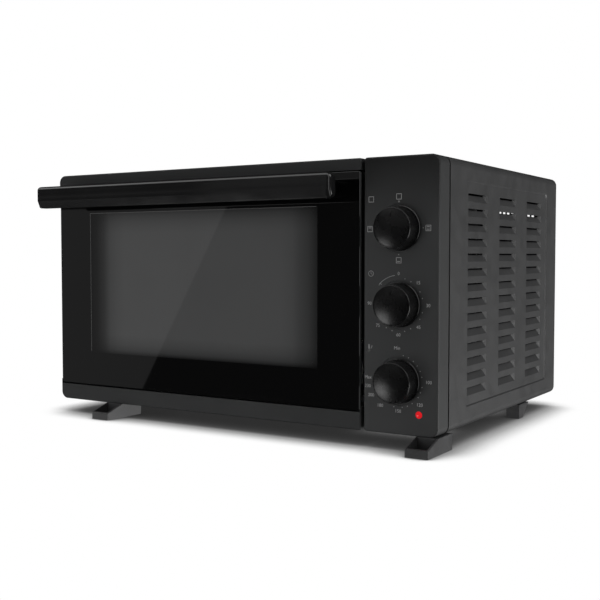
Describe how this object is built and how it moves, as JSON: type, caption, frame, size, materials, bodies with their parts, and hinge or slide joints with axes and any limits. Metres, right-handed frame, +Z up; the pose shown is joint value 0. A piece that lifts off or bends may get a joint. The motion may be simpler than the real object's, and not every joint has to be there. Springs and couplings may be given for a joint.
{
  "type": "toaster oven",
  "caption": "Bench-top toaster oven: louvred sheet shell, full-width drop-down glass door with a bar handle, control panel with round knobs, rack, trays and heaters inside.",
  "frame": {"origin": "on the surface the oven stands on, under the middle of its outline", "axes": "+X to the right seen from the front, -Y out of the door, +Z up"},
  "size_m": [0.462, 0.383, 0.265],
  "materials": {
    "painted_sheet": "satin black powder paint",
    "front_moulding": "fine satin black",
    "chassis_steel": "plain zinc-coated sheet",
    "cavity_steel": "aluminised sheet",
    "dark_glass": "dark tempered glass with a black printed border",
    "door_enamel": "black heat-proof paint",
    "seal_rubber": "silicone rubber",
    "heater_sheath": "dull steel sheath",
    "ceramic": "unglazed ceramic",
    "rack_chrome": "bright plated wire",
    "tray_enamel": "black enamel",
    "tray_aluminium": "plain sheet",
    "handle_gloss": "gloss black",
    "knob_gloss": "gloss black with a polished edge",
    "bright_steel": "bright zinc",
    "screw_steel": "black zinc",
    "unit_housing": "moulded housing",
    "copper": "bare copper",
    "red_lens": "clear red lens",
    "lamp_glass": "clear",
    "foot_plastic": "satin black"
  },
  "bodies": {
    "oven_body": {"outer_shell": "painted_sheet", "back_panel": "painted_sheet", "base_plate": "painted_sheet", "front_frame": "front_moulding", "control_panel": "front_moulding", "front_chassis": "chassis_steel", "hinge_bracket_left": "chassis_steel", "hinge_bracket_right": "chassis_steel", "cavity_left_wall": "cavity_steel", "cavity_right_wall": "cavity_steel", "cavity_roof": "cavity_steel", "cavity_floor": "cavity_steel", "cavity_back": "cavity_steel", "door_seal": "seal_rubber", "upper_heaters": "heater_sheath", "lower_heaters": "heater_sheath", "heater_insulators": "ceramic", "crumb_tray": "tray_aluminium", "arm_guides": "bright_steel", "switch_nuts": "bright_steel", "hinge_springs": "bright_steel", "timer_bell": "bright_steel", "foot_screws": "screw_steel", "shell_screws": "screw_steel", "back_screws": "screw_steel", "bracket_screws": "screw_steel", "front_screws": "screw_steel", "function_switch": "unit_housing", "timer_unit": "unit_housing", "thermostat_unit": "unit_housing", "terminal_block": "unit_housing", "thermostat_capillary": "copper", "indicator_lens": "red_lens", "lamp_body": "lamp_glass", "front_left_foot": "foot_plastic", "front_right_foot": "foot_plastic", "rear_left_foot": "foot_plastic", "rear_right_foot": "foot_plastic", "cord_gland": "foot_plastic"},
    "door": {"door_glass": "dark_glass", "door_pan": "door_enamel", "hinge_pins": "bright_steel", "arm_pivots": "bright_steel", "handle_bar": "handle_gloss", "handle_post_left": "handle_gloss", "handle_post_right": "handle_gloss", "handle_screws": "screw_steel", "handle_washers": "bright_steel"},
    "arm_left": {"door_arm_left": "chassis_steel"},
    "arm_right": {"door_arm_right": "chassis_steel"},
    "function_dial": {"function_knob": "knob_gloss", "function_shaft": "bright_steel"},
    "timer_dial": {"timer_knob": "knob_gloss", "timer_shaft": "bright_steel"},
    "temperature_dial": {"temperature_knob": "knob_gloss", "temperature_shaft": "bright_steel"},
    "rack": {"wire_rack": "rack_chrome"},
    "tray": {"baking_tray": "tray_enamel"}
  },
  "joints": [
    {"name": "door_hinge", "type": "hinge", "parent": "oven_body", "child": "door", "pos_m": [-0.03855, -0.14, 0.0424], "axis": [1, 0, 0], "range_deg": [0, 90], "stiffness_Nm_per_rad": 0.3, "springref_deg": -34.38},
    {"name": "arm_left_pivot", "type": "hinge", "parent": "door", "child": "arm_left", "pos_m": [-0.222, -0.138, 0.0924], "axis": [1, 0, 0], "range_deg": [-45, 0]},
    {"name": "arm_right_pivot", "type": "hinge", "parent": "door", "child": "arm_right", "pos_m": [0.1449, -0.138, 0.0924], "axis": [1, 0, 0], "range_deg": [-45, 0]},
    {"name": "rack_slide", "type": "slide", "parent": "oven_body", "child": "rack", "axis": [0, -1, 0], "range_m": [0, 0.1415]},
    {"name": "tray_slide", "type": "slide", "parent": "oven_body", "child": "tray", "axis": [0, -1, 0], "range_m": [0, 0.0629]},
    {"name": "function_turn", "type": "hinge", "parent": "oven_body", "child": "function_dial", "pos_m": [0.1926, -0.1485, 0.2005], "axis": [0, 1, 0], "range_deg": [0, 315]},
    {"name": "timer_turn", "type": "hinge", "parent": "oven_body", "child": "timer_dial", "pos_m": [0.1926, -0.1485, 0.132], "axis": [0, 1, 0], "range_deg": [-40, 270]},
    {"name": "temperature_turn", "type": "hinge", "parent": "oven_body", "child": "temperature_dial", "pos_m": [0.1926, -0.1485, 0.0635], "axis": [0, 1, 0], "range_deg": [0, 275]}
  ],
  "couplings": [
    {"joint": "arm_left_pivot", "follows": "door_hinge", "ratio": -0.5},
    {"joint": "arm_right_pivot", "follows": "door_hinge", "ratio": -0.5},
    {"joint": "rack_slide", "follows": "door_hinge", "m_per_rad": 0.09},
    {"joint": "tray_slide", "follows": "door_hinge", "m_per_rad": 0.04}
  ]
}
